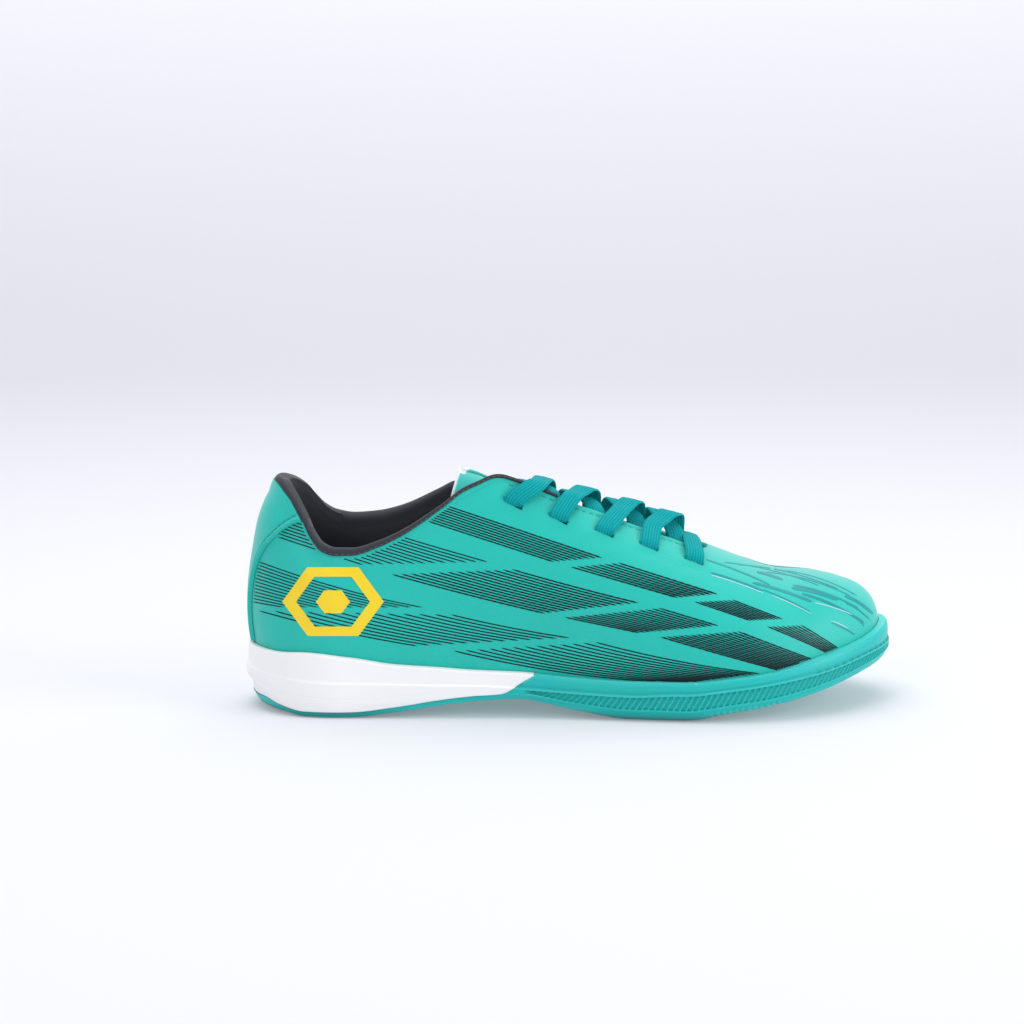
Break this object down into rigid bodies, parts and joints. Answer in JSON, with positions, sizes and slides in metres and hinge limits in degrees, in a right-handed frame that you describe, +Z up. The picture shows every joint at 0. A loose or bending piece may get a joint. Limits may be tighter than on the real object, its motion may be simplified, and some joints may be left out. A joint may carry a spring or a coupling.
{
  "type": "indoor soccer shoe",
  "caption": "Low laced sports shoe for the right foot, with a thin ribbed rubber sole, a heel wedge, a padded collar and a tongue.",
  "frame": {"origin": "middle of the footprint box, on the floor that the sole stands on", "axes": "+X to the toe, +Y to the inner side of the right foot, +Z up"},
  "size_m": [0.276, 0.0952, 0.1014],
  "materials": {
    "outsole_rubber": "satin moulded rubber",
    "midsole_foam": "satin moulded foam",
    "insole_cloth": "matt knit",
    "upper_skin": "semi-matt coated cloth, printed",
    "stay_skin": "semi-matt coated cloth",
    "lining_cloth": "matt knit",
    "tongue_cloth": "matt brushed cloth",
    "lace_cloth": "matt flat weave"
  },
  "bodies": {
    "root": {"outsole": "outsole_rubber", "midsole": "midsole_foam", "insole": "insole_cloth", "upper": "upper_skin", "heel_stay": "stay_skin", "collar_lining": "lining_cloth", "tongue": "tongue_cloth", "lace_cross_1": "lace_cloth", "lace_cross_2": "lace_cloth", "lace_cross_3": "lace_cloth", "lace_cross_4": "lace_cloth", "lace_bar": "lace_cloth"}
  },
  "joints": []
}
